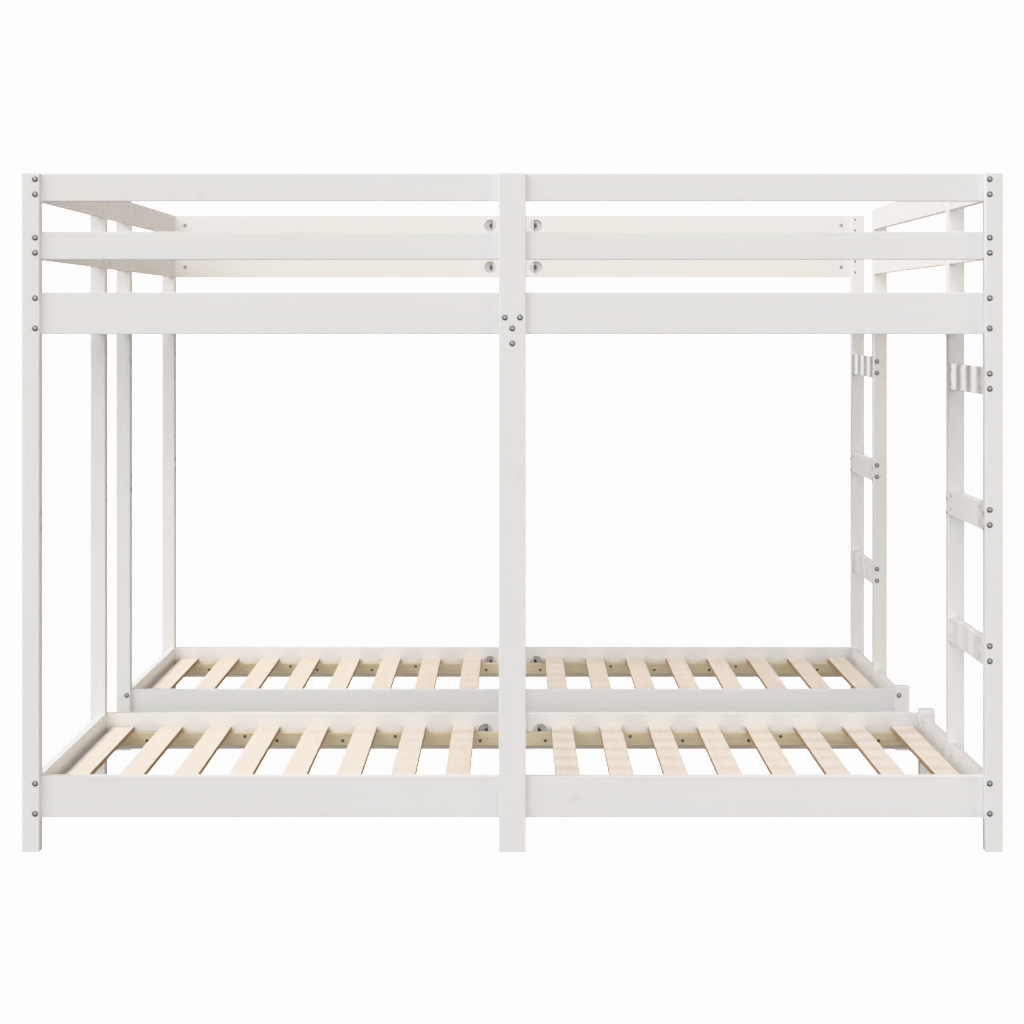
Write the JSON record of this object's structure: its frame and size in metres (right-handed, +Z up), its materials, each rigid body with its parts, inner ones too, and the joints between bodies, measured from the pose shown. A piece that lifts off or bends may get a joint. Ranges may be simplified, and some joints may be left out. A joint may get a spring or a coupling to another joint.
{
  "type": "bunk bed with ladder",
  "caption": "Whitewashed pine bunk bed: low single beds with a passage between them under one wide guarded upper deck, with bolted posts and ladders built into the right end.",
  "frame": {"origin": "centre of the footprint, on the floor", "axes": "+Z up; -Y is the front, where the nearer low bed is; +X is the right end, with the ladders"},
  "size_m": [2.086, 2.086, 1.44],
  "materials": {
    "whitewashed_pine": "matt whitewash with a little grain showing",
    "natural_pine": "planed, unfinished",
    "zinc_steel": "zinc plated"
  },
  "bodies": {
    "root": {"front_left_post_lower": "whitewashed_pine", "front_left_post_upper": "whitewashed_pine", "passage_front_left_post_lower": "whitewashed_pine", "passage_front_left_post_upper": "whitewashed_pine", "passage_rear_left_post_lower": "whitewashed_pine", "passage_rear_left_post_upper": "whitewashed_pine", "rear_left_post_lower": "whitewashed_pine", "rear_left_post_upper": "whitewashed_pine", "front_right_post_lower": "whitewashed_pine", "front_right_post_upper": "whitewashed_pine", "front_ladder_post_lower": "whitewashed_pine", "front_ladder_post_upper": "whitewashed_pine", "rear_ladder_post_lower": "whitewashed_pine", "rear_ladder_post_upper": "whitewashed_pine", "rear_right_post_lower": "whitewashed_pine", "rear_right_post_upper": "whitewashed_pine", "front_middle_post": "whitewashed_pine", "rear_middle_post": "whitewashed_pine", "passage_front_right_stub": "whitewashed_pine", "passage_rear_right_stub": "whitewashed_pine", "passage_front_middle_stub": "whitewashed_pine", "passage_rear_middle_stub": "whitewashed_pine", "front_low_rails": "whitewashed_pine", "passage_front_rails": "whitewashed_pine", "passage_rear_rails": "whitewashed_pine", "rear_low_rails": "whitewashed_pine", "front_deck_rails": "whitewashed_pine", "rear_deck_rails": "whitewashed_pine", "front_second_guards": "whitewashed_pine", "rear_second_guards": "whitewashed_pine", "front_top_guards": "whitewashed_pine", "rear_top_guards": "whitewashed_pine", "left_low_end_boards": "whitewashed_pine", "left_deck_rails": "whitewashed_pine", "left_second_guards": "whitewashed_pine", "left_top_guards": "whitewashed_pine", "right_low_end_boards": "whitewashed_pine", "right_deck_rails": "whitewashed_pine", "right_second_guards": "whitewashed_pine", "right_top_guards": "whitewashed_pine", "front_ladder_rungs": "whitewashed_pine", "rear_ladder_rungs": "whitewashed_pine", "front_bed_slats": "natural_pine", "rear_bed_slats": "natural_pine", "deck_slats": "natural_pine", "bed_slat_strips": "natural_pine", "deck_slat_strips": "natural_pine", "deck_beam_plate": "whitewashed_pine", "deck_beam_upright": "whitewashed_pine", "end_rail_bolts": "zinc_steel", "side_rail_bolts": "zinc_steel", "beam_bolts": "zinc_steel", "barrel_nuts": "zinc_steel", "end_joint_studs": "zinc_steel", "middle_studs": "zinc_steel", "half_moon_nuts": "zinc_steel", "middle_hex_nuts": "zinc_steel", "splice_bolts": "zinc_steel", "splice_sleeve_nuts": "zinc_steel", "strip_screws": "zinc_steel"}
  },
  "joints": []
}
